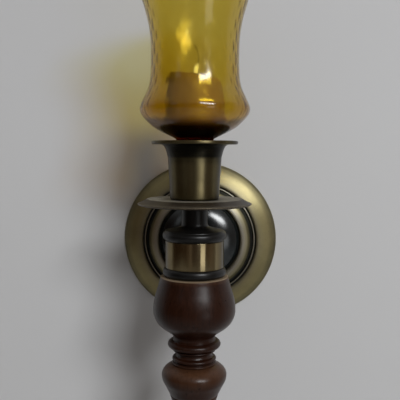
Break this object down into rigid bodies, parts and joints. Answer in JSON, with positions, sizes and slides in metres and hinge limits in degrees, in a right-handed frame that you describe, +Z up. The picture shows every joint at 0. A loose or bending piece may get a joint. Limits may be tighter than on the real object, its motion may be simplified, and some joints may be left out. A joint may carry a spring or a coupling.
{
  "type": "wall sconce candle holder",
  "caption": "Wall sconce for a peg votive: round stepped wall plate, short arm, turned stem with brass cup and drip pan, lift-out amber glass and candle.",
  "frame": {"origin": "centre of the wall plate's back plane, where the sconce meets the wall, on the arm's axis", "axes": "+Z up along the stem, +Y into the wall, +X to the right seen from the front; the sconce stands out towards -Y"},
  "size_m": [0.1142, 0.1095, 0.3486],
  "materials": {
    "antique_brass": "satin antique brass with darkened grooves",
    "black_lacquer": "glossy black lacquer on turned wood",
    "dark_bronze": "matte dark bronze, dusty on top",
    "dark_wood": "dark satin stained wood",
    "raw_wood": "bare wood",
    "zinc_steel": "zinc plated",
    "amber_glass": "clear amber with a moulded diamond pattern",
    "wax": "candle wax",
    "wick_cotton": "braided cotton",
    "rubber": "matte"
  },
  "bodies": {
    "sconce": {"wall_plate": "antique_brass", "plate_boss": "black_lacquer", "hanger_strap": "zinc_steel", "arm_washer": "zinc_steel", "arm_nut": "zinc_steel", "arm_rod": "zinc_steel", "arm_ring": "antique_brass", "arm_tube": "antique_brass", "arm_saddle": "antique_brass", "collar": "antique_brass", "core_block": "raw_wood", "neck": "black_lacquer", "lower_ring": "black_lacquer", "spindle": "dark_wood", "stem_rod": "zinc_steel", "drip_pan": "dark_bronze", "candle_cup": "antique_brass", "cup_washer": "zinc_steel", "cup_nut": "zinc_steel"},
    "glass": {"glass_votive": "amber_glass", "peg_ring": "rubber"},
    "candle": {"candle_wax": "wax", "wick_tab": "zinc_steel", "wick": "wick_cotton"}
  },
  "joints": [
    {"name": "glass_lift", "type": "slide", "parent": "sconce", "child": "glass", "axis": [0, 0, 1], "range_m": [0, 0.03]},
    {"name": "candle_lift", "type": "slide", "parent": "glass", "child": "candle", "axis": [0, 0, 1], "range_m": [0, 0.095]}
  ]
}
